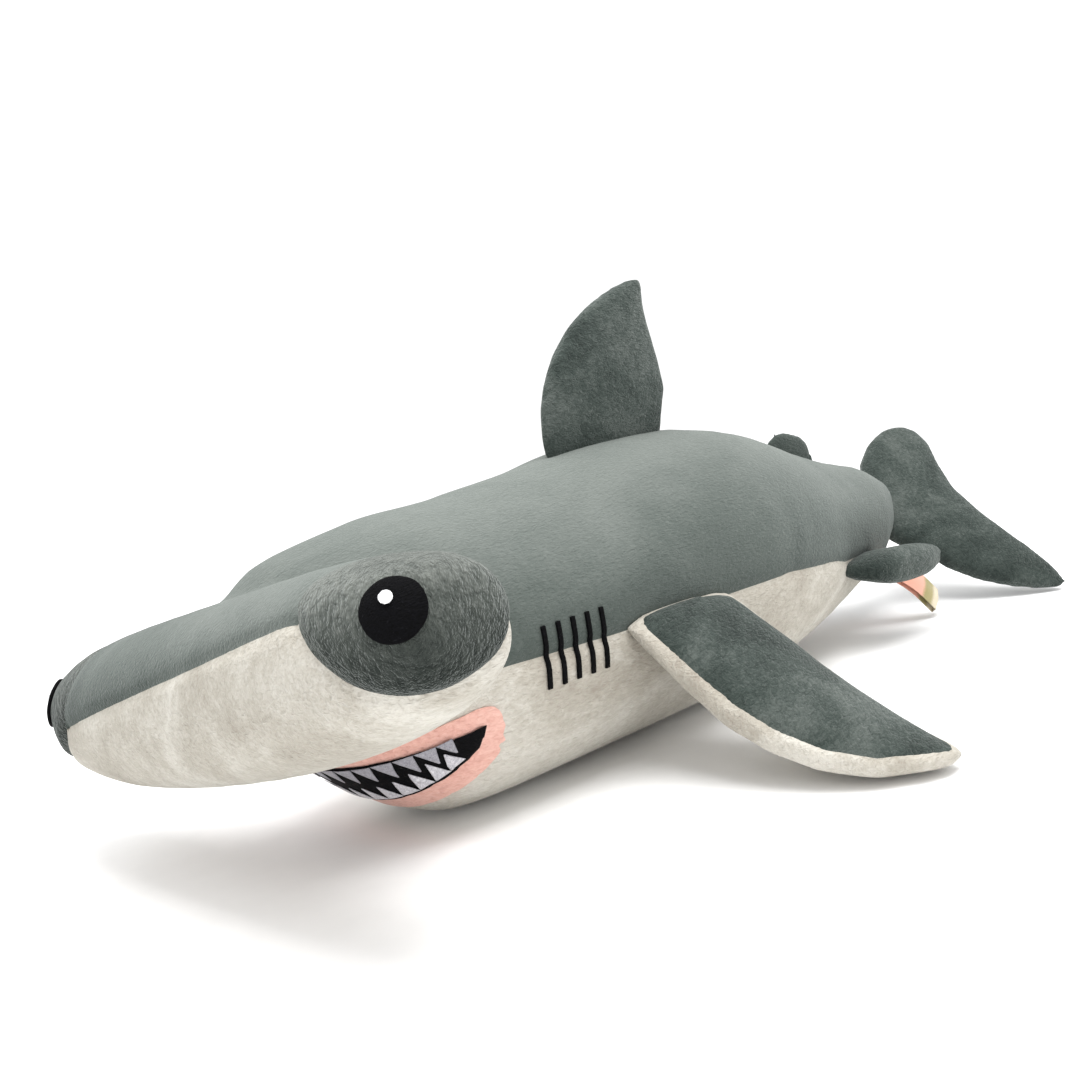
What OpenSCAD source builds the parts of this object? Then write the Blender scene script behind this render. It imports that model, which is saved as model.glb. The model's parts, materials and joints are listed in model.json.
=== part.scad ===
/* [Body] */
// Half width of the body at its fullest
body_half_w = 65; // [60:1:72]
// Height of the back above the floor
body_top = 138; // [130:1:146]
// How far the belly is pressed flat by resting on the floor
belly_press = 1.5; // [1:0.5:4]
// Thickness of the sewn fabric with its pile
skin = 2.4; // [1.5:0.1:3.5]

/* [Hammer head] */
// Half of the head's width from lobe to lobe
hammer_half_w = 133; // [126:1:140]
// Half of the head's depth, front to back
hammer_half_d = 37; // [32:1:42]
// Half of the head's thickness
hammer_half_t = 35; // [30:1:38]
// How far the left lobe is tipped up
head_roll = 12; // [0:1:14]

/* [Eyes] */
// Diameter of the embroidered eye
eye_d = 21; // [16:0.5:26]
// Diameter of the eye's highlight
glint_d = 4.4; // [3:0.2:6]

/* [Fins] */
// Length of a pectoral fin from root to tip
pectoral_len = 121; // [110:1:128]
// How far a pectoral fin droops from level
pectoral_droop = 28; // [18:1:28]
// Height of the dorsal fin above the back
dorsal_h = 73; // [60:1:84]

/* [Stitching] */
// Width of one gill bar
gill_w = 2; // [1.4:0.1:3]
// Height of a gill bar
gill_h = 26; // [18:1:30]
// Distance from one gill bar to the next
gill_pitch = 8; // [6:0.5:9]

/* [Hidden] */
$fn = 48;

// Fabric and thread colours
grey = [0.44, 0.48, 0.46];
white = [0.88, 0.85, 0.80];
pink = [0.94, 0.70, 0.64];
black = [0.05, 0.05, 0.05];
silver = [0.78, 0.77, 0.82];
fibre = [0.96, 0.96, 0.94];
satin = [0.93, 0.66, 0.56];

// Half of the gap left between neighbouring layers of one body
play = 0.1;
// Half of the gap left between two bodies that move
clear = 0.5;
far = 400;

// Where the head turns and where the tail bends, and how far round them the joint reaches
neck_y = -95;
neck_r = 66;
tail_y = 160;
tail_r = 60;

// The head's wing: its middle, how far it leans to the left, and how its lobes rise and thin
hammer_y = -165;
hammer_z = 75;
hammer_shift = 11;
lobe_rise = 6;
lobe_taper = 0.1;

// Body stations: along, half width, underside, top, height of the widest line
body = [
    [-156, body_half_w - 37, 56, body_top - 27, 84],
    [-140, body_half_w - 24, 38, body_top - 18, 78],
    [-118, body_half_w - 15, 18, body_top - 14, 72],
    [-98, body_half_w - 8, 4, body_top - 13, 68],
    [-80, body_half_w - 5, -0.5, body_top - 12, 66],
    [-50, body_half_w - 3, -belly_press, body_top - 10, 65],
    [-10, body_half_w - 1, -belly_press, body_top - 3, 64],
    [40, body_half_w, -belly_press, body_top, 63],
    [95, body_half_w, 1 - belly_press, body_top - 1, 62],
    [140, body_half_w - 7, 3, body_top - 10, 60],
    [180, body_half_w - 17, 9, body_top - 25, 58],
    [220, body_half_w - 27, 18, body_top - 38, 57],
    [256, body_half_w - 37, 25, body_top - 46, 58],
    [290, 18, 34, 82, 59]];

// Height of the seam between grey and white, from the snout to the tail
side_seam = [[-far, 64], [-80, 66], [-20, 64], [60, 63], [104, 62], [159, 55], [177, 51],
    [256, 45], [far, 45]];
// The same seam round the wing of the head, and how far it tips with the head
head_seam = [[-far, 86], [-195, 86], [-150, 74], [-120, 70], [far, 66]];
seam_roll = 17;
// The grey panel that carries the eye is everything past a slanted plane across the lobe
eye_panel_at = [103, -194, 94];
eye_panel_faces = [0.69, -0.376, 0.62];
// Middle of the eye and of its highlight on the left lobe, and the way that the eye looks
eye_at = [135, -186, 90];
glint_at = [133, -186, 93.5];
eye_looks = [0.75, -0.6, 0.28];

// Mouth, seen from the front: half width, drop of the lower and upper edge, height of the corners
lip = [59, 51, 12, 55.5];
opening = [55, 34, 13, 50];
mouth_rear = -72;
teeth = 15;
tooth_h = 7.5;
// Most of the opening's height that one tooth takes up
tooth_fill = 0.55;
// Degrees of the opening that the teeth cover
tooth_span = 132;

// Gill bars: the first one's place along the body, their middle's height
gill_y = -62.5;
gill_z = 64.5;

// Gap between a fin root and the body, and the lengths that the fin stations are drawn at
root_gap = 1;
pectoral_cut = 121;
dorsal_cut = 73;
// Fin stations: out from the root, front edge, rear edge, half thickness, sag
pectoral_root_r = 7;
pectoral = [
    [-7, 4, 66, 1.5, 0], [-5, 1, 70, 5, 0], [0, 0, 71, 7, 0], [18, 3, 74, 10, 4],
    [40, 6, 77, 11, 8], [60, 10, 78, 10.5, 9], [80, 17, 77, 9, 8], [97, 28, 74, 7, 5],
    [109, 44, 70, 4.5, 1], [114, 54, 65, 3, 0]];
dorsal_root_r = 7;
dorsal = [
    [-7, 4, 82, 1.5, 0], [-5, 1, 86, 5, 0], [0, 0, 87, 7, 0], [10, 2, 92, 8.5, 0],
    [22, 7, 90, 9, 0], [34, 15, 87, 8.5, 0], [46, 28, 84, 7.5, 0], [55, 43, 83, 6, 0],
    [61, 58, 84, 5, 0], [65, 71, 84, 3, 0]];
second_root_r = 2.4;
// How far the back has dropped at the second dorsal fin
second_drop = 24.4;
second = [
    [-2.4, 3, 44, 0.7, 0], [-1.5, 1, 47, 1.9, 0], [0, 0, 48, 2.4, 0], [3, 3, 46, 3.2, 0],
    [6, 10, 41, 2.8, 0], [8.6, 17, 35, 1.8, 0]];
pelvic_root_r = 4.5;
pelvic = [
    [-4.5, 3, 47, 1, 0], [-3, 1, 50, 3.4, 0], [0, 0, 52, 4.5, 0], [8, 6, 62, 6, 0],
    [15, 15, 70, 6, 0], [21, 30, 73, 5, 0], [25, 46, 70, 3, 0]];
// Caudal stations run from the tip of the upper lobe to the tip of the lower one
caudal = [
    [-48, 26, 36, 3, 0], [-44, 12, 45, 7, 0], [-36, -1, 50, 9, 0], [-24, -9, 50, 10, 0],
    [-8, -10, 43, 10, 0], [12, -10, 37, 10, 0], [34, -10, 38, 10, 0], [52, -9, 41, 9.5, 0],
    [68, 0, 44, 8.5, 0], [83, 14, 46, 7, 0], [94, 28, 46, 4.6, 0], [100, 38, 44, 2.6, 0]];

// Sewn-in label: length, width and thickness, and where it leaves the side seam
label = [38, 14, 0.8];
label_at = [33, 243, 33];

// Curves through stations, and closed bodies drawn over rings of points
function power(x, p) = sign(x) * pow(abs(x), p);
function at(list, i) = list[max(0, min(len(list) - 1, i))];
function through(a, b, c, d, t) = b + 0.5 * t * (c - a + t * (2 * a - 5 * b + 4 * c - d
    + t * (3 * b - a - 3 * c + d)));
function smooth(list, steps) = concat(
    [for (i = [0:len(list) - 2], s = [0:steps - 1])
        through(at(list, i - 1), list[i], list[i + 1], at(list, i + 2), s / steps)],
    [list[len(list) - 1]]);
function unit(v) = v / norm(v);
function clamp(x, low, high) = max(low, min(high, x));
// How far ring i of n is pushed past its station, so that both ends grow with the sides
function end_shift(i, n, d) = i == 0 ? -d : i == n - 1 ? d : 0;

module loft(rings) {
    n = len(rings[0]);
    m = len(rings);
    sides = [for (i = [0:m - 2], j = [0:n - 1])
        let (a = i * n + j, b = i * n + (j + 1) % n)
        each [[a, a + n, b + n], [a, b + n, b]]];
    polyhedron([for (r = rings) each r],
        concat([[for (j = [0:n - 1]) j]], sides, [[for (j = [n - 1:-1:0]) (m - 1) * n + j]]));
}

// A freely curved soft shape, kept at its own size
module soft(tint) {
    color(tint) resize([0, 0, 0]) children();
}

// The body grown by d on every side; it never passes through the floor
module body_form(d) {
    stations = smooth(body, 2);
    n = len(stations);
    loft([for (i = [0:n - 1]) let (s = stations[i])
        [for (k = [0:27]) let (a = -360 * k / 28, up = sin(a) > 0,
            rise = up ? s[3] - s[4] + d : s[4] - s[2] + d)
            [(s[1] + d) * power(cos(a), 0.87), s[0] + end_shift(i, n, d),
                max(max(0, -d), s[4] + rise * power(sin(a), up ? 0.87 : 1.05))]]]);
}

// Places what is drawn for an upright head where the tipped head is
module tipped() {
    translate([0, neck_y - 5, 80]) rotate([0, -head_roll, 0]) translate([0, 5 - neck_y, -80]) children();
}

// The wide wing of the head grown by d on every side, drawn upright
module hammer_form(d) {
    loft([for (i = [-10:10]) let (s = sin(i * 8.7), full = pow(1 - pow(abs(s), 3.6), 1 / 3.6))
        [for (k = [0:23]) let (a = 360 * k / 24)
            [hammer_shift + (hammer_half_w + d) * s,
                hammer_y + (hammer_half_d * full + d) * power(cos(a), 0.9),
                hammer_z + lobe_rise * s * s
                    + (hammer_half_t * full * (1 - lobe_taper * s * s) + d) * power(sin(a), 0.9)]]]);
}

module head_form(d) {
    body_form(d);
    tipped() hammer_form(d);
}

// Parts of space that belong to each moving body
module between(front, rear) {
    translate([-far, front, -far]) cube([2 * far, rear - front, 2 * far]);
}
module head_zone() {
    between(-far, neck_y);
    translate([0, neck_y, 0]) cylinder(r = neck_r - clear, h = far, center = true);
}
module torso_zone() {
    difference() {
        between(neck_y, tail_y);
        translate([0, neck_y, 0]) cylinder(r = neck_r + clear, h = far, center = true);
        translate([0, tail_y, 0]) cylinder(r = tail_r + clear, h = far, center = true);
    }
}
module tail_zone() {
    between(tail_y, far);
    translate([0, tail_y, 0]) cylinder(r = tail_r - clear, h = far, center = true);
}

// Everything above or below a seam drawn in the side view
module side_outline(points) {
    rotate([90, 0, 90]) linear_extrude(2 * far, center = true) polygon(points);
}
module above(seam) {
    translate([0, 0, play]) side_outline(concat(seam, [[far, far], [-far, far]]));
}
module below(seam) {
    translate([0, 0, -play]) side_outline(concat(seam, [[far, -far], [-far, -far]]));
}
module left_half() {
    translate([play, -far, -far]) cube([far, 2 * far, 2 * far]);
}
module right_half() {
    mirror([1, 0, 0]) left_half();
}

// A layer of fabric over a body shape, and the stuffing inside it
module body_skin() {
    difference() {
        body_form(0);
        body_form(-skin);
    }
}
module head_skin() {
    difference() {
        head_form(0);
        head_form(-skin);
    }
}

module back_panel(side) {
    soft(grey) intersection() {
        body_skin();
        torso_zone();
        above(side_seam);
        if (side > 0) left_half(); else right_half();
    }
}
module belly_panel() {
    soft(white) intersection() {
        body_skin();
        torso_zone();
        below(side_seam);
    }
}
module torso_stuffing() {
    soft(fibre) intersection() {
        body_form(-skin - 2 * play);
        torso_zone();
    }
}
module tail_panel(side) {
    soft(grey) intersection() {
        body_skin();
        tail_zone();
        above(side_seam);
        if (side > 0) left_half(); else right_half();
    }
}
module tail_belly_panel() {
    soft(white) intersection() {
        body_skin();
        tail_zone();
        below(side_seam);
    }
}
module tail_stuffing() {
    soft(fibre) intersection() {
        body_form(-skin - 2 * play);
        tail_zone();
    }
}

// Stands a z axis at a point, looking along a direction
module looking(point, direction) {
    u = unit(direction);
    translate(point) rotate([0, acos(u.z), atan2(u.y, u.x)]) children();
}
module on_side(side) {
    mirror([side > 0 ? 0 : 1, 0, 0]) translate([side > 0 ? 0 : -2 * hammer_shift, 0, 0]) children();
}
// The grey panel at one end of the head, over the eye
module eye_zone(side, gap) {
    tipped() on_side(side) looking(eye_panel_at, eye_panel_faces) translate([-far, -far, gap])
        cube([2 * far, 2 * far, far]);
}
// The grey and white parts of the head meet on two seams: one on the wing, one on the neck
module wing_seam(grey_side) {
    translate([0, neck_y - 5, 80]) rotate([0, -seam_roll, 0]) translate([0, 5 - neck_y, -80])
        if (grey_side) above(head_seam); else below(head_seam);
}
module head_colour(grey_side) {
    intersection() {
        wing_seam(grey_side);
        tipped() hammer_form(1);
    }
    difference() {
        if (grey_side) above(side_seam); else below(side_seam);
        tipped() hammer_form(1);
    }
}
module head_panel(grey_side) {
    difference() {
        intersection() {
            head_skin();
            head_zone();
            head_colour(grey_side);
        }
        eye_zone(1, -2 * play);
        eye_zone(-1, -2 * play);
    }
}
module head_top_panel() {
    soft(grey) head_panel(true);
}
module head_under_panel() {
    soft(white) head_panel(false);
}
module eye_panel_part(side) {
    soft(grey) intersection() {
        head_skin();
        eye_zone(side, 0);
    }
}
module head_stuffing() {
    soft(fibre) intersection() {
        head_form(-skin - 2 * play);
        head_zone();
    }
}

// Stands a fin at its root: x runs outward, y along the root, z across the fin
module at_root(origin, along, outward) {
    u = unit(along);
    n = unit(cross(outward, u));
    v = cross(u, n);
    multmatrix([[v.x, u.x, n.x, origin.x], [v.y, u.y, n.y, origin.y],
        [v.z, u.z, n.z, origin.z], [0, 0, 0, 1]]) children();
}

// A flat pillow drawn over fin stations and grown by d
module fin_form(list, d) {
    n = len(list);
    loft([for (i = [0:n - 1]) let (s = list[i], mid = (s[1] + s[2]) / 2, half = (s[2] - s[1]) / 2)
        [for (k = [0:15]) let (a = 360 * k / 16)
            [clamp(s[0] + end_shift(i, n, d), list[0][0] - d, list[n - 1][0] + d),
                mid + (half + d) * cos(a), max(0.4, s[3] + d) * power(sin(a), 0.8) - s[4]]]]);
}
// A thin fin is sewn from fabric that is pressed thinner
function fin_skin(list) = min(skin, 0.4 * max([for (s = list) s[3]]));
// One face of a fin's fabric: z above 0 for side 1, below for -1
function half_ring(s, side, d) = let (mid = (s[1] + s[2]) / 2, half = (s[2] - s[1]) / 2)
    [for (k = [0:8]) let (a = 22.5 * k)
        [s[0], mid + max(half / 2, half + d) * cos(a),
            side * (play + max(s[3] / 3, s[3] + d) * power(sin(a), 0.8)) - s[4]]];
function turned(ring) = [for (i = [len(ring) - 1:-1:0]) ring[i]];
module fin_face(list, side, tint) {
    soft(tint) loft([for (s = list)
        let (outer = half_ring(s, side, 0), inner = half_ring(s, side, -fin_skin(list)))
        side > 0 ? concat(outer, turned(inner)) : concat(inner, turned(outer))]);
}
module fin_filling(list) {
    soft(fibre) fin_form(list, -fin_skin(list) - 2 * play);
}

// Roots: each fin turns about its own y axis, just clear of the body
module at_pectoral(side) {
    mirror([side > 0 ? 0 : 1, 0, 0])
        at_root([body_half_w + root_gap + pectoral_root_r * pectoral_len / pectoral_cut, -20, 58],
            [2, 70, -2], [cos(pectoral_droop), -0.1, -sin(pectoral_droop)])
            scale([pectoral_len / pectoral_cut, 1, 1]) children();
}
module at_dorsal() {
    at_root([0, 9, body_top + root_gap + dorsal_root_r * dorsal_h / dorsal_cut],
        [0, 1, 0], [0, 0, 1]) scale([dorsal_h / dorsal_cut, 1, 1]) children();
}
module at_second() {
    at_root([0, 179, body_top - second_drop + root_gap + second_root_r],
        [0, 50, -15.5], [0, 0.2, 1]) children();
}
module at_pelvic(side) {
    mirror([side > 0 ? 0 : 1, 0, 0])
        at_root([body_half_w - 14 + pelvic_root_r, 174, 45], [-13, 52, -2], [1, 0.2, -0.1]) children();
}
// The tail fin is twisted, so its lower lobe swings out to the left
module at_caudal() {
    at_root([4, 306, 60], [0.32, 0.914, 0.249], [0.729, -0.069, -0.681]) children();
}

module care_label() {
    color(satin) translate(label_at) rotate([0, 24, 38]) rotate([40, 0, 0])
        translate([0, -label[1] / 2, -label[2] / 2]) cube(label);
}

// Embroidery lies on the fabric as a thin layer between two heights
module on_body(low, high) {
    difference() {
        body_form(high);
        body_form(low);
        tipped() hammer_form(high);
    }
}
module on_wing(low, high) {
    tipped() difference() {
        hammer_form(high);
        hammer_form(low);
    }
}
module eye(side) {
    soft(black) intersection() {
        on_wing(play, 1);
        tipped() on_side(side) looking(eye_at, eye_looks) cylinder(d = eye_d, h = 50, center = true);
    }
}
module eye_glint(side) {
    soft("white") intersection() {
        on_wing(1 + play, 1.5);
        tipped() on_side(side) looking(glint_at, eye_looks) cylinder(d = glint_d, h = 50, center = true);
    }
}

// A sagging crescent: what lies between an upper and a lower half ellipse
module crescent(mouth) {
    translate([0, mouth[3]]) difference() {
        scale([mouth[0], mouth[1]]) circle(1);
        scale([mouth[0] * 1.05, mouth[2]]) circle(1);
        translate([-far, 0]) square(2 * far);
    }
}
module mouth_face() {
    translate([0, mouth_rear, 0]) rotate([90, 0, 0]) linear_extrude(70) children();
}
module mouth_lip() {
    soft(pink) intersection() {
        on_body(play, 0.8);
        mouth_face() difference() {
            crescent(lip);
            offset(play) crescent(opening);
        }
    }
}
module mouth_lining() {
    soft(black) intersection() {
        on_body(play, 0.8);
        mouth_face() crescent(opening);
    }
}
// A row of pointed teeth along one edge of the opening, hanging down or standing up.
// They shorten towards the corners of the mouth, where the opening closes.
module tooth_row(drop, way, count) {
    step = tooth_span / teeth;
    for (i = [0:count - 1]) {
        mid = step * (i - (count - 1) / 2);
        tall = min(tooth_h, tooth_fill * (opening[1] - opening[2]) * cos(mid));
        edge = [for (a = [mid - 0.46 * step, mid, mid + 0.46 * step])
            [opening[0] * sin(a), opening[3] - drop * cos(a)]];
        polygon([edge[0], [edge[1].x, edge[1].y + way * tall], edge[2]]);
    }
}
module tooth_layer() {
    soft(silver) intersection() {
        on_body(0.8 + 2 * play, 1.4);
        mouth_face() children();
    }
}
module teeth_upper() {
    tooth_layer() tooth_row(opening[2] + 1, -1, teeth);
}
// The lower teeth stand between the upper ones
module teeth_lower() {
    tooth_layer() tooth_row(opening[1] - 1, 1, teeth - 1);
}
module gill_stitches(side) {
    soft(black) intersection() {
        difference() {
            body_form(1);
            body_form(play);
        }
        for (i = [0:4])
            translate([side > 0 ? 0 : -far, gill_y + i * gill_pitch - gill_w / 2, gill_z - gill_h / 2])
                cube([far, gill_w, gill_h]);
    }
}

// Every piece by name
back_panel(1);  // back_panel_left
back_panel(-1);  // back_panel_right
belly_panel();
torso_stuffing();
gill_stitches(1);  // gill_stitches_left
gill_stitches(-1);  // gill_stitches_right
head_top_panel();
head_under_panel();
eye_panel_part(1);  // eye_panel_left
eye_panel_part(-1);  // eye_panel_right
head_stuffing();
eye(1);  // eye_left
eye(-1);  // eye_right
eye_glint(1);  // eye_glint_left
eye_glint(-1);  // eye_glint_right
mouth_lip();
mouth_lining();
teeth_upper();
teeth_lower();
at_pectoral(1) fin_face(pectoral, 1, grey);  // pectoral_top_left
at_pectoral(1) fin_face(pectoral, -1, white);  // pectoral_under_left
at_pectoral(1) fin_filling(pectoral);  // pectoral_stuffing_left
at_pectoral(-1) fin_face(pectoral, 1, grey);  // pectoral_top_right
at_pectoral(-1) fin_face(pectoral, -1, white);  // pectoral_under_right
at_pectoral(-1) fin_filling(pectoral);  // pectoral_stuffing_right
at_dorsal() fin_face(dorsal, -1, grey);  // dorsal_panel_left
at_dorsal() fin_face(dorsal, 1, grey);  // dorsal_panel_right
at_dorsal() fin_filling(dorsal);  // dorsal_stuffing
at_second() fin_face(second, -1, grey);  // second_dorsal_panel_left
at_second() fin_face(second, 1, grey);  // second_dorsal_panel_right
at_second() fin_filling(second);  // second_dorsal_stuffing
tail_panel(1);  // tail_panel_left
tail_panel(-1);  // tail_panel_right
tail_belly_panel();
tail_stuffing();
at_pelvic(1) fin_face(pelvic, 1, grey);  // pelvic_top_left
at_pelvic(1) fin_face(pelvic, -1, grey);  // pelvic_under_left
at_pelvic(1) fin_filling(pelvic);  // pelvic_stuffing_left
at_pelvic(-1) fin_face(pelvic, 1, grey);  // pelvic_top_right
at_pelvic(-1) fin_face(pelvic, -1, grey);  // pelvic_under_right
at_pelvic(-1) fin_filling(pelvic);  // pelvic_stuffing_right
at_caudal() fin_face(caudal, 1, grey);  // caudal_panel_left
at_caudal() fin_face(caudal, -1, grey);  // caudal_panel_right
at_caudal() fin_filling(caudal);  // caudal_stuffing
care_label();
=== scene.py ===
import json
import math

import bmesh
import bpy
import numpy as np
from mathutils import Matrix, Vector
from mathutils.bvhtree import BVHTree


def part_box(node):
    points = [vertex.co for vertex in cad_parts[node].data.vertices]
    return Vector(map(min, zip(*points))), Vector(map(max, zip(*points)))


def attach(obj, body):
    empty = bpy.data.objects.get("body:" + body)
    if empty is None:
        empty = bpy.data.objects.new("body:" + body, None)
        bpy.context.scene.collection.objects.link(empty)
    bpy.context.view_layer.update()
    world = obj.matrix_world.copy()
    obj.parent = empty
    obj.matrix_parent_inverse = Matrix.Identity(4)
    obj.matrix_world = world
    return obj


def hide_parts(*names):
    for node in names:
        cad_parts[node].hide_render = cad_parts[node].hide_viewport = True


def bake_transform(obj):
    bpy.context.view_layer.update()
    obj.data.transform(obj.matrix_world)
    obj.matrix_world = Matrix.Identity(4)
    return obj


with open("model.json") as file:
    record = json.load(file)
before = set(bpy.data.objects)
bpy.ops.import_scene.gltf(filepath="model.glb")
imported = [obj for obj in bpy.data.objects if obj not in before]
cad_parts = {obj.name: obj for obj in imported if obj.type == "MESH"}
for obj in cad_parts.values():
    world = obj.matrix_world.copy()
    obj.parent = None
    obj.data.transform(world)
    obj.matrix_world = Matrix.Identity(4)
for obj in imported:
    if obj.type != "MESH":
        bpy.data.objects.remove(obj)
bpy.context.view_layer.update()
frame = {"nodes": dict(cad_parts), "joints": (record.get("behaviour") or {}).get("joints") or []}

MM = 0.001
WELD = 0.01 * MM         # corners nearer than this are one corner
ON_LINE = 0.15 * MM      # a corner this near a cutting line counts as on it
FLOOR_GAP = 0.2 * MM     # fabric stays this far above the floor
nodes = frame["nodes"]
joints = {j["name"]: j for j in frame["joints"]}
scene = bpy.context.scene

GREY = ["back_panel_left", "back_panel_right", "head_top_panel", "tail_panel_left", "tail_panel_right"]
WHITE = ["belly_panel", "head_under_panel", "tail_belly_panel"]
EYES = ["eye_panel_left", "eye_panel_right"]
FILL = ["torso_stuffing", "head_stuffing", "tail_stuffing"]


# ---------------------------------------------------------------- meshes as arrays
def rise(values, start, width):
    """0 up to start, 1 from start + width on, and straight in between."""
    return np.clip((values - start) / width, 0, 1)


def hump(values, centre, width):
    """1 at centre, falling smoothly to 0 on both sides."""
    return np.exp(-((values - centre) / width) ** 2)


def read(mesh):
    """Points and triangles of a mesh."""
    mesh.calc_loop_triangles()
    points = np.empty(len(mesh.vertices) * 3)
    mesh.vertices.foreach_get("co", points)
    faces = np.empty(len(mesh.loop_triangles) * 3, int)
    mesh.loop_triangles.foreach_get("vertices", faces)
    return points.reshape(-1, 3), faces.reshape(-1, 3)


def cad(*names):
    """Points and triangles of some CAD nodes, together."""
    points, faces, start = [], [], 0
    for name in names:
        p, f = read(nodes[name].data)
        points.append(p)
        faces.append(f + start)
        start += len(p)
    return np.concatenate(points), np.concatenate(faces)


def make(name, points, faces):
    mesh = bpy.data.meshes.new(name)
    mesh.from_pydata(points.tolist(), [], [list(f) for f in np.asarray(faces).tolist()])
    mesh.update()
    obj = bpy.data.objects.new(name, mesh)
    scene.collection.objects.link(obj)
    return obj


def through(points, faces, add_modifier):
    """Points and quads of a mesh after one modifier."""
    obj = make("working", points, faces)
    add_modifier(obj)
    mesh = obj.evaluated_get(bpy.context.evaluated_depsgraph_get()).to_mesh()
    new = np.empty(len(mesh.vertices) * 3)
    mesh.vertices.foreach_get("co", new)
    quads = np.empty(len(mesh.loops), int)
    mesh.loops.foreach_get("vertex_index", quads)
    bpy.data.objects.remove(obj)
    return new.reshape(-1, 3), quads.reshape(-1, 4)


def fused(names, voxel, rounded=False):
    """One closed skin round some CAD nodes, or round their convex hull."""
    def remesh(obj):
        m = obj.modifiers.new("fuse", "REMESH")
        m.mode = "VOXEL"
        m.voxel_size = voxel
    points, faces = cad(*names)
    if rounded:
        bm = bmesh.new()
        bmesh.ops.convex_hull(bm, input=[bm.verts.new(p) for p in points])
        bmesh.ops.delete(bm, geom=[v for v in bm.verts if not v.link_faces], context="VERTS")
        bmesh.ops.triangulate(bm, faces=bm.faces[:])
        bm.verts.index_update()
        points = np.array([v.co for v in bm.verts])
        faces = np.array([[v.index for v in f.verts] for f in bm.faces])
        bm.free()
    return through(points, faces, remesh)


def subdivided(points, quads):
    def subdivide(obj):
        m = obj.modifiers.new("subdivide", "SUBSURF")
        m.levels = 1
    return through(points, quads, subdivide)


def edges_of(faces):
    pairs = np.concatenate([faces[:, [i, (i + 1) % faces.shape[1]]] for i in range(faces.shape[1])])
    return np.unique(np.sort(pairs, 1), axis=0)


def relaxed(values, faces, rounds, back=-0.52):
    """Values on a mesh evened out between neighbours; back keeps the volume."""
    e = edges_of(faces)
    values = values.reshape(len(values), -1).astype(float)
    count = np.bincount(e.ravel(), minlength=len(values))[:, None]
    for _ in range(rounds):
        for step in (0.5, back):
            total = np.stack([np.bincount(e[:, 0], values[e[:, 1], k], len(values))
                              + np.bincount(e[:, 1], values[e[:, 0], k], len(values))
                              for k in range(values.shape[1])], 1)
            values = values + step * (total / np.maximum(count, 1) - values)
    return values


def triangles(quads):
    return np.concatenate([quads[:, [0, 1, 2]], quads[:, [0, 2, 3]]])


def normals(points, tris):
    n = np.cross(points[tris[:, 1]] - points[tris[:, 0]], points[tris[:, 2]] - points[tris[:, 0]])
    out = np.stack([sum(np.bincount(tris[:, i], n[:, k], len(points)) for i in range(3))
                    for k in range(3)], 1)
    return out / np.maximum(np.linalg.norm(out, axis=1, keepdims=True), 1e-12)


def tree(points, faces):
    return BVHTree.FromPolygons(points.tolist(), faces.tolist())


def nearest(bvh, points):
    found = [bvh.find_nearest(Vector(p)) for p in points]
    return np.array([f[0] for f in found]), np.array([f[3] for f in found])


def seams(points, groups):
    """How much further each point is from the nearest other group of panels than from its own."""
    trees = [tree(*cad(*g)) for g in groups]
    found = [nearest(t, points) for t in trees]
    closest = np.argmin(np.stack([f[1] for f in found]), 0)
    on_cad = np.stack([f[0] for f in found])[closest, np.arange(len(points))]
    return np.stack([nearest(t, on_cad)[1] for t in trees])


SIMULATED_FRAMES = 20
STUFFING_PRESSURE = 4


def puffed(points, quads, held, cap):
    """Stuffed: the fabric swells under pressure, by up to cap, and stays held where held is 1."""
    obj = make("swelling", points, quads)
    group = obj.vertex_groups.new(name="held")
    for level in (1.0, 0.5):
        chosen = np.nonzero(np.abs(np.round(held * 2) / 2 - level) < 0.01)[0]
        group.add(chosen.tolist(), level, "REPLACE")
    m = obj.modifiers.new("stuffing", "CLOTH")
    m.settings.quality = 5
    m.settings.use_pressure = True
    m.settings.uniform_pressure_force = STUFFING_PRESSURE
    m.settings.vertex_group_mass = "held"
    m.settings.effector_weights.gravity = 0
    m.collision_settings.use_collision = False
    m.collision_settings.use_self_collision = False
    m.point_cache.frame_start, m.point_cache.frame_end = 1, SIMULATED_FRAMES
    for step in range(1, SIMULATED_FRAMES + 1):
        scene.frame_set(step)
    mesh = obj.evaluated_get(bpy.context.evaluated_depsgraph_get()).to_mesh()
    new = np.empty(len(mesh.vertices) * 3)
    mesh.vertices.foreach_get("co", new)
    move = new.reshape(-1, 3) - points
    bpy.data.objects.remove(obj)
    scene.frame_set(1)
    size = np.linalg.norm(move, axis=1, keepdims=True)
    return points + move * np.minimum(1, cap / np.maximum(size, 1e-9))


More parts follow.
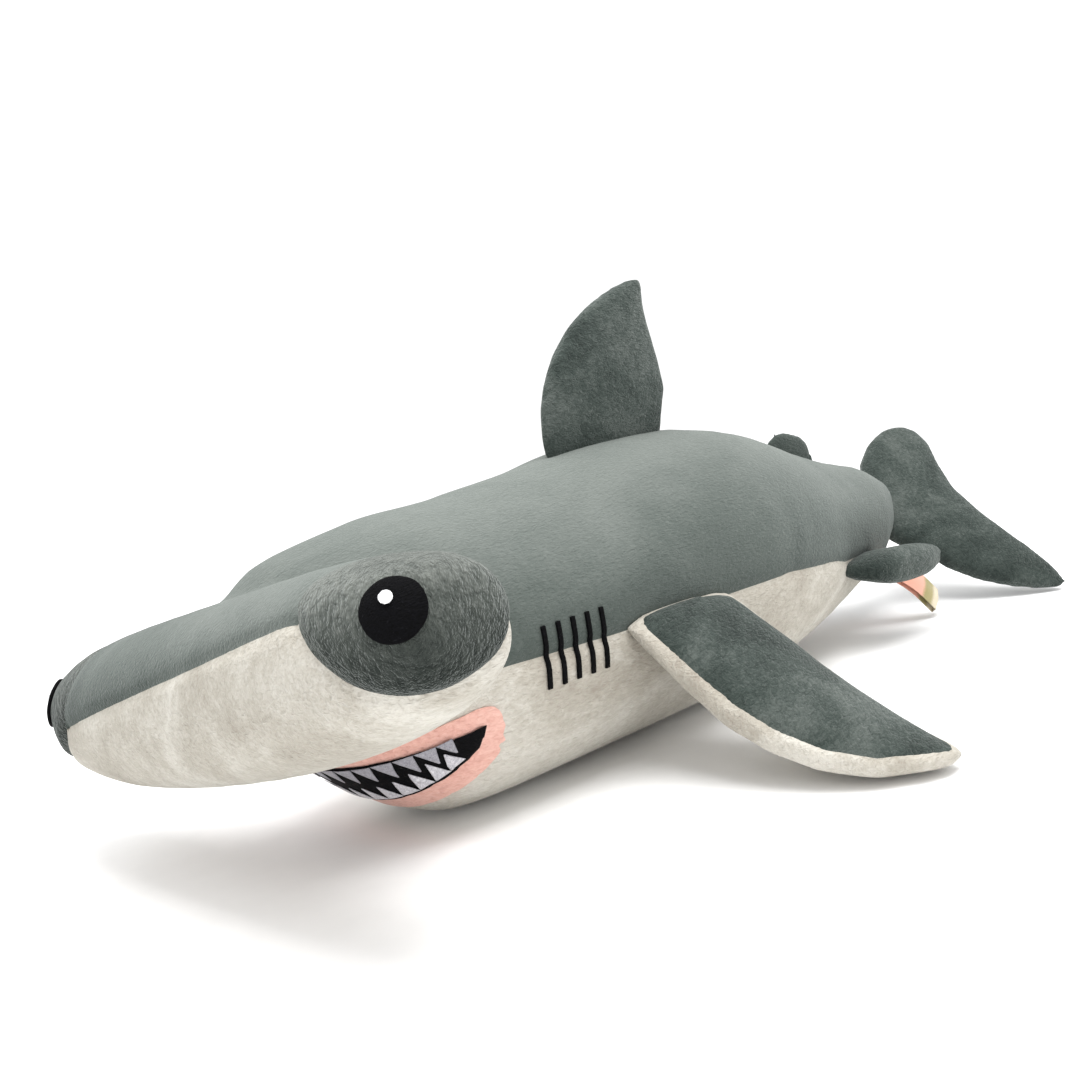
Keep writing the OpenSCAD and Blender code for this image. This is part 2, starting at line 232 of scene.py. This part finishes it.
def cut(points, tris, values, column):
    """Splits the triangles that the line values[:, column] = 0 crosses."""
    f = values[:, column]
    f[np.abs(f) < ON_LINE] = 0
    sign = np.sign(f)[tris]
    mixed = (sign.min(1) < 0) & (sign.max(1) > 0)
    made, new_points, new_values, known = [], [], [], {}

    def between(a, b):
        key = (min(a, b), max(a, b))
        if key not in known:
            t = f[a] / (f[a] - f[b])
            known[key] = len(points) + len(new_points)
            new_points.append(points[a] + t * (points[b] - points[a]))
            row = values[a] + t * (values[b] - values[a])
            row[column] = 0
            new_values.append(row)
        return known[key]

    for tri, s in zip(tris[mixed].tolist(), sign[mixed].tolist()):
        if 0 in s:
            i = s.index(0)
            z, x, y = tri[i], tri[(i + 1) % 3], tri[(i + 2) % 3]
            m = between(x, y)
            made += [(z, x, m), (z, m, y)]
        else:
            i = next(k for k in range(3) if s[k] != s[(k + 1) % 3] and s[k] != s[(k + 2) % 3])
            a, b, c = tri[i], tri[(i + 1) % 3], tri[(i + 2) % 3]
            ab, ac = between(a, b), between(a, c)
            made += [(a, ab, ac), (ab, b, c), (ab, c, ac)]
    if not made:
        return points, tris, values
    return (np.concatenate([points, new_points]), np.concatenate([tris[~mixed], made]),
            np.concatenate([values, new_values]))


def side_of(tris, values, column):
    return np.sign(values[tris, column]).sum(1)


def shell(name, points, normal, tris, thick, marks=None):
    """A closed layer of fabric under a part of a surface."""
    used, t = np.unique(tris, return_inverse=True)
    t = t.reshape(-1, 3)
    n = len(used)
    outer = points[used]
    inner = outer - normal[used] * thick
    directed = np.concatenate([t[:, [0, 1]], t[:, [1, 2]], t[:, [2, 0]]])
    code = directed[:, 0] * n + directed[:, 1]
    rim = directed[~np.isin(code, directed[:, 1] * n + directed[:, 0])]
    a, b = rim[:, 0], rim[:, 1]
    faces = np.concatenate([t, t[:, ::-1] + n, np.stack([b, a, a + n], 1), np.stack([b, a + n, b + n], 1)])
    obj = make(name, np.concatenate([outer, inner]), faces)
    for key, mark in (marks or {}).items():
        layer = obj.data.attributes.new(key, "FLOAT", "POINT")
        layer.data.foreach_set("value", np.tile(mark[used], 2))
    soften(obj)
    return obj


def soften(obj, angle=55):
    obj.data.shade_smooth()
    obj.data.set_sharp_from_angle(angle=math.radians(angle))


# ---------------------------------------------------------------- materials
def material(name, roughness, sheen=0.0, sheen_roughness=0.5, sheen_tint=(1, 1, 1, 1)):
    mat = bpy.data.materials.new(name)
    mat.use_nodes = True
    shader = mat.node_tree.nodes["Principled BSDF"]
    shader.inputs["Roughness"].default_value = roughness
    shader.inputs["Sheen Weight"].default_value = sheen
    shader.inputs["Sheen Roughness"].default_value = sheen_roughness
    shader.inputs["Sheen Tint"].default_value = sheen_tint
    shader.inputs["Specular IOR Level"].default_value = 0.25
    return mat, mat.node_tree, shader


def node(tree_, kind, **settings):
    n = tree_.nodes.new(kind)
    for key, value in settings.items():
        setattr(n, key, value)
    return n


def noise(tree_, vector, scale, detail=2.0, roughness=0.5, distortion=0.0):
    n = node(tree_, "ShaderNodeTexNoise")
    n.inputs["Scale"].default_value = scale
    n.inputs["Detail"].default_value = detail
    n.inputs["Roughness"].default_value = roughness
    n.inputs["Distortion"].default_value = distortion
    tree_.links.new(vector, n.inputs["Vector"])
    return n.outputs["Fac"]


def stretched(tree_, scale, turn=(0, 0, 0)):
    """Object coordinates turned, then stretched along the way that the pile lies."""
    place = node(tree_, "ShaderNodeTexCoord")
    m = node(tree_, "ShaderNodeMapping", vector_type="TEXTURE")
    m.inputs["Rotation"].default_value = [math.radians(t) for t in turn]
    m.inputs["Scale"].default_value = scale
    tree_.links.new(place.outputs["Object"], m.inputs["Vector"])
    return m.outputs["Vector"]


def combined(tree_, parts):
    """Weighted sum of some values."""
    total = None
    for value, weight in parts:
        m = node(tree_, "ShaderNodeMath", operation="MULTIPLY_ADD")
        tree_.links.new(value, m.inputs[0])
        m.inputs[1].default_value = weight
        if total is None:
            m.inputs[2].default_value = 0
        else:
            tree_.links.new(total, m.inputs[2])
        total = m.outputs[0]
    return total


def coloured(tree_, shader, value, stops):
    ramp = node(tree_, "ShaderNodeValToRGB")
    while len(ramp.color_ramp.elements) < len(stops):
        ramp.color_ramp.elements.new(0.5)
    for element, (at, colour) in zip(ramp.color_ramp.elements, stops):
        element.position = at
        element.color = (*colour, 1)
    tree_.links.new(value, ramp.inputs["Fac"])
    tree_.links.new(ramp.outputs["Color"], shader.inputs["Base Color"])


def bumped(tree_, shader, height, distance, strength=1.0):
    b = node(tree_, "ShaderNodeBump")
    b.inputs["Distance"].default_value = distance
    b.inputs["Strength"].default_value = strength
    tree_.links.new(height, b.inputs["Height"])
    tree_.links.new(b.outputs["Normal"], shader.inputs["Normal"])


def creases(tree_):
    """Fine wrinkles along the top of the eye panel, from the distance to its seam: low in each crease,
    used for bumps and for painted shade in the creases.
    """
    far = node(tree_, "ShaderNodeAttribute", attribute_name="from_eye_seam")
    where = node(tree_, "ShaderNodeAttribute", attribute_name="wrinkled")
    ramp = node(tree_, "ShaderNodeValToRGB")
    stops = [(0.0, 1), (0.30, 1), (0.34, 0.45), (0.38, 1), (0.46, 1), (0.50, 0), (0.54, 1), (0.60, 1),
             (0.635, 0.3), (0.67, 1), (0.74, 1), (0.77, 0.55), (0.80, 1)]
    while len(ramp.color_ramp.elements) < len(stops):
        ramp.color_ramp.elements.new(0.5)
    for element, (at, value) in zip(ramp.color_ramp.elements, stops):
        element.position = at
        element.color = (value, value, value, 1)
    tree_.links.new(far.outputs["Fac"], ramp.inputs["Fac"])
    m = node(tree_, "ShaderNodeMix", data_type="FLOAT")
    tree_.links.new(where.outputs["Fac"], m.inputs[0])
    m.inputs[2].default_value = 1.0
    tree_.links.new(ramp.outputs["Color"], m.inputs[3])
    return m.outputs[0]


def minky(name, stops, turn=(0, 0, 0), sheen=0.35, depth=1.0, mix=(0.42, 0.42, 0.16), wrinkles=False,
          tufts=560, facing_shade=0.0):
    """Short soft pile: patches combed different ways, tufts that lie one way, and single hairs; it can
    also paint shade, in the creases of wrinkles and on the sides.
    """
    mat, t, shader = material(name, 1.0, sheen, 0.42, (0.90, 0.95, 0.92, 1))
    patch = noise(t, stretched(t, (1, 1.6, 1), turn), 24, 3, 0.6, 0.8)
    tuft = noise(t, stretched(t, (1, 2.4, 1), turn), tufts, 2, 0.6, 0.6)
    hair = noise(t, stretched(t, (1, 3.6, 1), turn), 1500, 1, 0.5)
    parts = [(patch, mix[0]), (tuft, mix[1]), (hair, mix[2])]
    height = [(tuft, 0.7), (hair, 0.3)]
    if wrinkles:
        # The crease lines are bumps, and they also darken the colour: painted shade in the creases
        line = creases(t)
        parts = [(value, weight * 0.8) for value, weight in parts] + [(line, 0.10)]
        height.append((line, 0.7))
    if facing_shade:
        # Painted light and shade: an attribute, lighter on top and darker on the sides and on the front of
        # the head, stands for the light falling from above
        top_light = node(t, "ShaderNodeAttribute", attribute_name="painted_top_light")
        parts = [(value, weight * (1 - facing_shade)) for value, weight in parts]
        parts.append((top_light.outputs["Fac"], facing_shade))
    coloured(t, shader, combined(t, parts), stops)
    bumped(t, shader, combined(t, height), 0.0022 * depth, 0.9)
    return mat


def thread(name, stops, turn, roughness=0.45, pitch=2400, sheen=0.1, gloss=0.25):
    """Satin stitch: parallel threads with a soft gloss."""
    mat, t, shader = material(name, roughness, sheen)
    shader.inputs["Specular IOR Level"].default_value = gloss
    strand = noise(t, stretched(t, (1, 9, 1), turn), pitch, 1, 0.5)
    glint = noise(t, stretched(t, (1, 3, 1), turn), 900, 2, 0.6)
    coloured(t, shader, combined(t, [(strand, 0.5), (glint, 0.5)]), stops)
    bumped(t, shader, strand, 0.0005, 0.8)
    return mat


grey = minky("grey_minky", [(0.32, (0.044, 0.056, 0.050)), (0.50, (0.092, 0.108, 0.098)),
                            (0.68, (0.150, 0.166, 0.153))], sheen=0.22, wrinkles=True, depth=0.55,
             mix=(0.56, 0.24, 0.20), tufts=820, facing_shade=0.30)
# Painted shade: a darker copy of the grey pile for the eye panels, which face sideways and get less of the
# light from above
grey_eye_shaded = minky("grey_minky_eye_shaded", [(0.34, (0.014, 0.019, 0.016)), (0.50, (0.052, 0.060, 0.053)),
                                    (0.66, (0.140, 0.150, 0.136))], turn=(35, 10, 60), sheen=0.28,
                 depth=1.7, mix=(0.34, 0.48, 0.18), wrinkles=True, tufts=430, facing_shade=0.26)
# Painted shade: a darker copy of the grey pile for most fins, which get less of the light from above than
# the body's top
grey_fin_shaded = minky("grey_minky_fin_shaded", [(0.36, (0.015, 0.022, 0.019)), (0.50, (0.040, 0.052, 0.046)),
                                    (0.64, (0.092, 0.106, 0.097))], turn=(0, 0, 25), sheen=0.22,
                 mix=(0.62, 0.26, 0.12), depth=0.9)
white = minky("white_minky", [(0.30, (0.30, 0.265, 0.22)), (0.47, (0.43, 0.40, 0.345)),
                              (0.62, (0.58, 0.555, 0.50))], sheen=0.2, mix=(0.58, 0.28, 0.14), depth=0.8)
pink = minky("pink_lip", [(0.30, (0.50, 0.25, 0.20)), (0.50, (0.66, 0.37, 0.31)),
                          (0.70, (0.78, 0.50, 0.43))], sheen=0.2, depth=0.5)
black = thread("black_thread", [(0.3, (0.001, 0.001, 0.001)), (0.66, (0.003, 0.003, 0.004)),
                                (0.80, (0.06, 0.06, 0.07))], (0, 0, 0), 0.75, 1800, 0.0, 0.06)
white_thread = thread("white_thread", [(0.3, (0.72, 0.72, 0.74)), (0.7, (1, 1, 1))], (90, 0, 0), 0.3)
# Painted shade: the upper row is a darker copy of the teeth's thread, shaded under the upper jaw
tooth_up_shaded = thread("tooth_thread_upper_shaded", [(0.3, (0.17, 0.165, 0.19)), (0.7, (0.40, 0.39, 0.43))],
                  (70, 0, 20), 0.35, 2600)
tooth_low = thread("tooth_thread_lower", [(0.3, (0.30, 0.29, 0.33)), (0.7, (0.74, 0.73, 0.76))],
                   (70, 0, -20), 0.35, 2600)


def dressed(obj, mat):
    obj.data.materials.append(mat)
    return obj


# ---------------------------------------------------------------- body, head and tail
# The seam fields are distances to the CAD panels, so the seams follow the CAD's, apart from the
# two shifts named here.
VOXEL = 4 * MM
SPLIT_Y = 30 * MM         # front and rear skins meet here, between the neck's bend and the tail's
EYE_WIDER = 6 * MM        # the eye panel's pile rolls out over its seam by up to this much
TAIL_SEAM_LOWER = 32 * MM     # towards the end of the tail the grey reaches down to the pelvic fins

NAPE_UP = 2.2             # mm that the stuffing stands up over the back of the head
HOLLOW = 3.4              # mm that it sinks in front of the dorsal fin
LOBE_PULL = 6 * MM        # how far its seam pulls in the back of each lobe
TAIL_END_NARROWER = 0.50  # the share of its width that the tail loses at the root of its fin
TAIL_END_LOWER = 0.34     # the share of its height there, towards TAIL_MIDDLE
TAIL_MIDDLE = 0.060

SKIN = 1.4 * MM           # thickness of the body's fabric
SEWN_IN = 1.6 * MM        # the fabric starts this far inside the fused CAD surface
BODY_SWELLS = 3.2 * MM    # the most that the stuffing then pushes it out
HELD = 2.5 * MM           # this near a seam the fabric can't swell
HALF_HELD = 6 * MM        # and this near it swells less
GROOVE_W = 2.6 * MM       # half width of the groove along a seam
EYE_GROOVE = 1.6          # mm, and the two below
LONG_GROOVE = 1.2
EYE_PROUD = 0.7
HIDDEN = 0.75             # the share of the eye's groove that the pile hides between grey and grey

points, quads = fused(GREY + WHITE + EYES + FILL, VOXEL)
points = relaxed(points, quads, 6)


def seam_fields(points, quads):
    """Distances to the panels, and three fields: above 0 inside the left eye panel, inside the
    right one, and on the grey side of the long seam."""
    d = seams(points, [GREY, WHITE, EYES[:1], EYES[1:]])
    left = relaxed(np.minimum(np.minimum(d[0], d[1]), d[3]) - d[2], quads, 4, 0.5)[:, 0] + EYE_WIDER
    right = relaxed(np.minimum(np.minimum(d[0], d[1]), d[2]) - d[3], quads, 4, 0.5)[:, 0] + EYE_WIDER
    lower = TAIL_SEAM_LOWER * rise(points[:, 1], 0.212, 0.035)
    return d, left, right, relaxed(d[1] - d[0], quads, 5, 0.5)[:, 0] + lower


upper = rise(points[:, 2], 0.055, 0.05)
points[:, 2] += MM * upper * (NAPE_UP * hump(points[:, 1], -0.085, 0.025)
                              - HOLLOW * hump(points[:, 1], -0.008, 0.026))
tail_end = rise(points[:, 1], 0.252, 0.052) ** 1.6
points[:, 0] *= 1 - TAIL_END_NARROWER * tail_end
points[:, 2] -= (points[:, 2] - TAIL_MIDDLE) * TAIL_END_LOWER * tail_end
behind_eye = (rise(np.abs(points[:, 0]), 0.105, 0.045)
              * rise(points[:, 1], -0.150, 0.030) * rise(-points[:, 1], 0.085, 0.01))
points[:, 1] -= LOBE_PULL * behind_eye

d, eye_l, eye_r, _ = seam_fields(points, quads)
seam = np.minimum(np.abs(d[1] - d[0]), np.minimum(np.abs(eye_l), np.abs(eye_r)))
held = np.where(seam < HELD, 1.0, np.where(seam < HALF_HELD, 0.5, 0.0))
points = points - normals(points, triangles(quads)) * SEWN_IN
points = puffed(points, quads, held, BODY_SWELLS)
points = relaxed(points, quads, 2)
points, quads = subdivided(points, quads)
tris = triangles(quads)
_, eye_l, eye_r, long_seam = seam_fields(points, quads)
values = np.stack([eye_l, eye_r, long_seam, points[:, 1] - SPLIT_Y], 1)
for column in range(4):
    points, tris, values = cut(points, tris, values, column)
normal = normals(points, tris)
in_eye = np.maximum(values[:, 0], values[:, 1])
# Grey meets grey over the top of an eye, where the pile hides the seam
by_white = 1 - HIDDEN * rise(values[:, 2], 0, 6 * MM)
groove = EYE_GROOVE * by_white * (hump(values[:, 0], 0, GROOVE_W) + hump(values[:, 1], 0, GROOVE_W))
groove += np.where(in_eye < 0, LONG_GROOVE, 0) * hump(values[:, 2], 0, GROOVE_W)
# The eye panel stands a little proud of the white beside it, as its pile is longer
groove -= EYE_PROUD * by_white * rise(in_eye, 0, 4 * MM)
points = points - normal * groove[:, None] * MM
points[:, 2] = np.maximum(points[:, 2], FLOOR_GAP)
normal = normals(points, tris)
body_surface = tree(points, tris)
cad_skin = tree(*cad(*(GREY + WHITE + EYES)))

# Where the wrinkles over each eye lie: 0.5 is on the seam, and each 0.1 is 2 mm of the field
from_seam = np.clip(0.5 + in_eye / (20 * MM), 0, 1)
wrinkled = rise(values[:, 2], 9 * MM, 9 * MM) * rise(np.abs(points[:, 0]), 0.09, 0.03)
# Painted shade: darker on the sides and on the front of the head away from the camera's side, lighter on
# top, where the light falls from above
front = rise(-points[:, 1], 0.115, 0.06) * rise(-points[:, 0], -0.06, 0.12)
painted_top_light = np.clip(0.30 + 0.85 * relaxed(normal[:, 2], tris, 6, 0.5)[:, 0] - 0.45 * front, 0, 1)
marks = {"from_eye_seam": from_seam, "wrinkled": wrinkled, "painted_top_light": painted_top_light}

is_l = side_of(tris, values, 0) > 0
is_r = side_of(tris, values, 1) > 0
is_grey = side_of(tris, values, 2) > 0
is_front = side_of(tris, values, 3) < 0
rest = ~is_l & ~is_r

skins = [
    ("grey_back_front", rest & is_grey & is_front, grey, "grey_fabric",
     ["head_top_panel", "back_panel_left"], "head"),
    ("grey_back_rear", rest & is_grey & ~is_front, grey, "grey_fabric",
     ["back_panel_right", "tail_panel_left", "tail_panel_right"], "tail"),
    ("white_belly_front", rest & ~is_grey & is_front, white, "white_fabric",
     ["head_under_panel", "head_stuffing", "belly_panel"], "head"),
    ("white_belly_rear", rest & ~is_grey & ~is_front, white, "white_fabric",
     ["tail_belly_panel", "torso_stuffing", "tail_stuffing"], "tail"),
    ("eye_panel_fabric_left", is_l, grey_eye_shaded, "grey_fabric", ["eye_panel_left"], None),
    ("eye_panel_fabric_right", is_r, grey_eye_shaded, "grey_fabric", ["eye_panel_right"], None)]
for name, chosen, mat, slot, stands_for, other in skins:
    obj = dressed(shell(name, points, normal, tris[chosen], SKIN, marks), mat)
    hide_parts(*stands_for)
    if other == "head":
        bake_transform(obj)
    elif other == "tail":
        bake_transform(obj)
    else:
        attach(obj, "head")


# ---------------------------------------------------------------- fins
FIN_SKIN = 1.0 * MM       # thickness of a fin's fabric
FIN_SEWN_IN = 0.8 * MM
FIN_HELD = 1.5 * MM
FIN_HALF_HELD = 4 * MM
FIN_GROOVE = 0.45 * MM
FIN_GROOVE_W = 1.8 * MM


def fin(joint, first, second, fill, voxel, reach, root, mats, slots, span=None,
        puff=2.2, shift=0.0, even=5, plump=1.0, rounded=False):
    """A stuffed fin sewn from two panels, whose root runs on into what it is sewn to.

    In mm: from root inwards the fin is drawn further in, by up to reach; span is the middle and
    the half width of that pull along the joint; puff is the most that the fabric swells; shift
    moves the edge seam. plump thickens the fin, even is
    how many rounds it is evened out, and rounded starts it from its convex hull.
    """
    at = np.array(joints[joint]["pos_m"])
    along = np.array(joints[joint]["axis"], float)
    along /= np.linalg.norm(along)
    p, q = fused([first, second, fill], voxel, rounded)
    p = relaxed(p, q, even)
    out = p.mean(0) - at
    out -= along * (out @ along)
    out /= np.linalg.norm(out)
    flat = np.cross(along, out)
    p = p + np.outer((p - at) @ flat, flat) * (plump - 1)
    two = [[first], [second]]
    d = seams(p, two)
    edge = np.abs(d[1] - d[0])
    p = p - normals(p, triangles(q)) * FIN_SEWN_IN
    held = np.where(edge < FIN_HELD, 1.0, np.where(edge < FIN_HALF_HELD, 0.5, 0.0))
    p = puffed(p, q, held, puff * MM)
    p = relaxed(p, q, 2)
    p, q = subdivided(p, q)
    t = triangles(q)
    d = seams(p, two)
    v = relaxed(d[1] - d[0], q, 3, 0.5)[:, :1] + shift * MM
    p, t, v = cut(p, t, v, 0)
    n = normals(p, t)
    p = p - n * (FIN_GROOVE * hump(v[:, :1], 0, FIN_GROOVE_W))
    p = relaxed(p, t, 3, -0.45)
    x = (p - at) @ out
    w = np.clip((root * MM - x) / (root * MM - x.min()), 0, 1) ** 1.4
    if span is not None:
        w = w * hump((p - at) @ along, span[0] * MM, span[1] * MM)
    p = p - out * (reach * MM * w)[:, None]
    p[:, 2] = np.maximum(p[:, 2], FLOOR_GAP)
    n = normals(p, t)
    side = side_of(t, v, 0) > 0
    for panel, chosen, mat, slot, stands_for in ((first, side, mats[0], slots[0], [first, fill]),
                                                 (second, ~side, mats[1], slots[1], [second])):
        obj = dressed(shell(panel + "_fabric", p, n, t[chosen], FIN_SKIN), mat)
        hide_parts(*stands_for)
        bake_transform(obj)


for side in ("left", "right"):
    fin(f"pectoral_{side}_flap",
        "pectoral_top_" + side, "pectoral_under_" + side, "pectoral_stuffing_" + side,
        3 * MM, 11, 12, (grey_fin_shaded, white), ("grey_fabric", "white_fabric"), puff=3.2, shift=-5.5, even=14,
        plump=1.2)
    fin(f"pelvic_{side}_flap",
        "pelvic_top_" + side, "pelvic_under_" + side, "pelvic_stuffing_" + side,
        1.8 * MM, 9, 8, (grey_fin_shaded, grey_fin_shaded), ("grey_fabric", "grey_fabric"), puff=3.0,
        even=14, plump=1.7)
fin("dorsal_lean", "dorsal_panel_left", "dorsal_panel_right", "dorsal_stuffing",
    2.6 * MM, 10, 12, (grey_fin_shaded, grey_fin_shaded), ("grey_fabric", "grey_fabric"), puff=3.0, even=22)
fin("second_dorsal_lean", "second_dorsal_panel_left",
    "second_dorsal_panel_right", "second_dorsal_stuffing", 1.3 * MM, 8, 5, (grey, grey),
    ("grey_fabric", "grey_fabric"), puff=0.8, even=22, rounded=True)
fin("caudal_sway", "caudal_panel_left", "caudal_panel_right", "caudal_stuffing",
    2.6 * MM, 16, 12, (grey_fin_shaded, grey_fin_shaded), ("grey_fabric", "grey_fabric"), span=(12, 24),
    puff=3.0, even=14)


# ---------------------------------------------------------------- embroidery
FINE = 1.2 * MM           # longest edge of an embroidered piece after refining
LIP_WIDTH = 7.5 * MM
LIP_EXTRA = 3.5 * MM      # the band is this much wider below the mouth
LIP_PROUD = 0.75 * MM
LIP_THICK = 0.6 * MM


def stitched(name, cad_node, mat, lift, finest, joint_blend):
    """A CAD layer of embroidery, refined and laid on the swollen fabric, lift above it."""
    bm = bmesh.new()
    bm.from_mesh(nodes[cad_node].data)
    bmesh.ops.remove_doubles(bm, verts=bm.verts, dist=WELD)
    for _ in range(9):
        long_edges = [e for e in bm.edges if e.calc_length() > finest]
        if not long_edges:
            break
        bmesh.ops.subdivide_edges(bm, edges=long_edges, cuts=1)
        bmesh.ops.triangulate(bm, faces=bm.faces[:])
    height = nearest(cad_skin, [v.co for v in bm.verts])[1]
    for vert, h in zip(bm.verts, height):
        place, facing, _, _ = body_surface.find_nearest(vert.co)
        vert.co = place + facing * (h + lift)
    mesh = bpy.data.meshes.new(name)
    bm.to_mesh(mesh)
    bm.free()
    obj = bpy.data.objects.new(name, mesh)
    scene.collection.objects.link(obj)
    soften(obj, 50)
    dressed(obj, mat)
    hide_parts(cad_node)
    if joint_blend:
        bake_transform(obj)
    else:
        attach(obj, "head")
    return obj


mouth = stitched("mouth_opening", "mouth_lining", black, 0.8 * MM, FINE, True)


def lip():
    """A felt band round the mouth, wider below it, cut from the swollen fabric's own surface."""
    opening = tree(*read(mouth.data))
    low, high = (np.array(c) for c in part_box("mouth_lip"))
    near = ((points > low - 12 * MM) & (points < high + 12 * MM)).all(1)
    p, t = points.copy(), tris[near[tris].all(1)]
    for _ in range(2):
        used, t = np.unique(t, return_inverse=True)
        p, t = p[used], t.reshape(-1, 3)
        place, far = nearest(opening, p)
        v = LIP_WIDTH + LIP_EXTRA * rise(place[:, 2] - p[:, 2], 0, 4 * MM) - far
        p, t, v = cut(p, t, v[:, None], 0)
        t = t[side_of(t, v, 0) > 0]
    n = normals(p, t)
    obj = dressed(shell("mouth_lip_felt", p + n * LIP_PROUD, n, t, LIP_THICK), pink)
    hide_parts("mouth_lip")
    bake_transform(obj)


lip()
stitched("teeth_row_upper", "teeth_upper", tooth_up_shaded, 0.9 * MM, FINE, True)
stitched("teeth_row_lower", "teeth_lower", tooth_low, 0.9 * MM, FINE, True)
for side in ("left", "right"):
    stitched("eye_disc_" + side, "eye_" + side, black, 0.25 * MM, 1.0 * MM, False)
    stitched("eye_highlight_" + side, "eye_glint_" + side, white_thread, 0.3 * MM,
             0.6 * MM, False)
    stitched("gill_bars_" + side, "gill_stitches_" + side, black, 0.3 * MM, FINE, True)


# ---------------------------------------------------------------- sewn-in label
def satin_label():
    """A folded ribbon loop with a blank face: pink, then an olive-gold band, then a cream tip."""
    length, width, bulge, thick = 36 * MM, 15 * MM, 1.7 * MM, 0.35 * MM
    seated = 12 * MM         # how far its root reaches back past its hinge, into the tail
    droop = 26               # degrees that it hangs below the CAD label
    wave = 1.6 * MM
    cupped = 0.5 * MM        # half of how far its middle stands off its edges
    low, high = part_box("care_label")
    hinge = joints["label_swing"]
    root = Vector(hinge["pos_m"])
    across = Vector(hinge["axis"]).normalized()
    out = (low + high) / 2 - root
    out = (out - across * out.dot(across)).normalized()
    tilt = Matrix.Rotation(math.radians(droop), 3, across)
    out = min((tilt @ out, tilt.inverted() @ out), key=lambda way: way.z)
    up = out.cross(across)
    bm = bmesh.new()
    along_layer = bm.verts.layers.float.new("along")
    count, across_count = 48, 10
    rings = []
    for i in range(count + 1):
        s = i / count
        angle = math.pi * s
        x = (length + seated) * (1 - abs(math.cos(angle)) ** 1.6) - seated
        lift = bulge * math.sin(angle) ** 0.5 * (1 if s < 0.5 else -1) if 0 < s < 1 else 0
        curl = wave * math.sin(x / length * 4)
        centre = root + out * x + up * (lift + curl)
        side = up if s < 0.5 else -up
        row = []
        for k in range(across_count + 1):
            t = k / across_count - 0.5
            dip = cupped * math.cos(2 * math.pi * t)
            place = centre + across * (width * t) + up * dip
            row.append([bm.verts.new(place + side * thick / 2), bm.verts.new(place - side * thick / 2)])
            for v in row[-1]:
                v[along_layer] = max(0.0, x / length)
        rings.append(row)
    for i in range(count):
        for k in range(across_count):
            a, b, c, e = rings[i][k], rings[i + 1][k], rings[i + 1][k + 1], rings[i][k + 1]
            bm.faces.new((a[0], b[0], c[0], e[0]))
            bm.faces.new((a[1], e[1], c[1], b[1]))
        for k in (0, across_count):
            a, b = rings[i][k], rings[i + 1][k]
            bm.faces.new((a[0], a[1], b[1], b[0]) if k == 0 else (a[0], b[0], b[1], a[1]))
    for i in (0, count):
        for k in range(across_count):
            a, b = rings[i][k], rings[i][k + 1]
            bm.faces.new((a[0], b[0], b[1], a[1]) if i == 0 else (a[0], a[1], b[1], b[0]))
    bmesh.ops.recalc_face_normals(bm, faces=bm.faces)
    mesh = bpy.data.meshes.new("satin_label")
    bm.to_mesh(mesh)
    bm.free()
    obj = bpy.data.objects.new("satin_label", mesh)
    scene.collection.objects.link(obj)
    soften(obj, 60)
    mat, t, shader = material("label_satin", 0.32, 0.2)
    read_along = node(t, "ShaderNodeAttribute", attribute_name="along")
    weave = noise(t, stretched(t, (1, 6, 1), (20, 0, 40)), 2600, 1)
    value = combined(t, [(read_along.outputs["Fac"], 0.93), (weave, 0.07)])
    coloured(t, shader, value, [(0.0, (0.72, 0.30, 0.21)), (0.58, (0.70, 0.36, 0.27)),
                                (0.66, (0.30, 0.26, 0.10)), (0.80, (0.34, 0.29, 0.13)),
                                (0.86, (0.62, 0.55, 0.41))])
    bumped(t, shader, weave, 0.0002, 0.6)
    dressed(obj, mat)
    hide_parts("care_label")
    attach(obj, "label")


satin_label()


# ---------------------------------------------------------------- camera, floor and light
def camera():
    """The viewing angle: where the camera stands, which way it looks and how it is rolled."""
    azimuth, elevation, roll = (math.radians(x) for x in (46, 8.3, -8.1))
    back = Vector((math.sin(azimuth) * math.cos(elevation), -math.cos(azimuth) * math.cos(elevation),
                   math.sin(elevation)))
    right = (-back).cross(Vector((0, 0, 1))).normalized()
    up = right.cross(-back)
    right, up = (math.cos(roll) * right + math.sin(roll) * up,
                 -math.sin(roll) * right + math.cos(roll) * up)
    data = bpy.data.cameras.new("camera")
    data.sensor_width = 36
    data.lens = 43.087
    obj = bpy.data.objects.new("camera", data)
    scene.collection.objects.link(obj)
    place = Vector((0.4176, -0.4029, 0.1832))
    obj.matrix_world = Matrix(((right.x, up.x, back.x, place.x), (right.y, up.y, back.y, place.y),
                               (right.z, up.z, back.z, place.z), (0, 0, 0, 1)))
    scene.camera = obj


def studio():
    """A pale floor and a soft white surround, so bright that no horizon shows, and two lamps."""
    floor = make("floor", np.array([[-4, -4, 0], [4, -4, 0], [4, 4, 0], [-4, 4, 0]], float),
                 np.array([[0, 1, 2, 3]]))
    mat, t, shader = material("paper_floor", 0.9)
    grain = noise(t, stretched(t, (1, 1, 1)), 60, 2)
    coloured(t, shader, grain, [(0.3, (0.93, 0.93, 0.93)), (0.7, (0.96, 0.96, 0.96))])
    floor.data.materials.append(mat)
    world = bpy.data.worlds.new("studio")
    scene.world = world
    world.use_nodes = True
    world.node_tree.nodes["Background"].inputs["Color"].default_value = (1, 1, 1, 1)
    world.node_tree.nodes["Background"].inputs["Strength"].default_value = 1.12
    for name, place, size, power in (("key", (0.20, 0.02, 1.25), 0.9, 17),
                                     ("rim", (-0.6, -0.1, 0.9), 0.7, 2)):
        data = bpy.data.lights.new(name, "AREA")
        data.size = size
        data.energy = power
        obj = bpy.data.objects.new(name, data)
        scene.collection.objects.link(obj)
        obj.location = place
        obj.rotation_mode = "QUATERNION"
        obj.rotation_quaternion = (Vector((0, 0, 0.05)) - Vector(place)).to_track_quat("-Z", "Y")
    scene.view_settings.view_transform = "Standard"


camera()
studio()
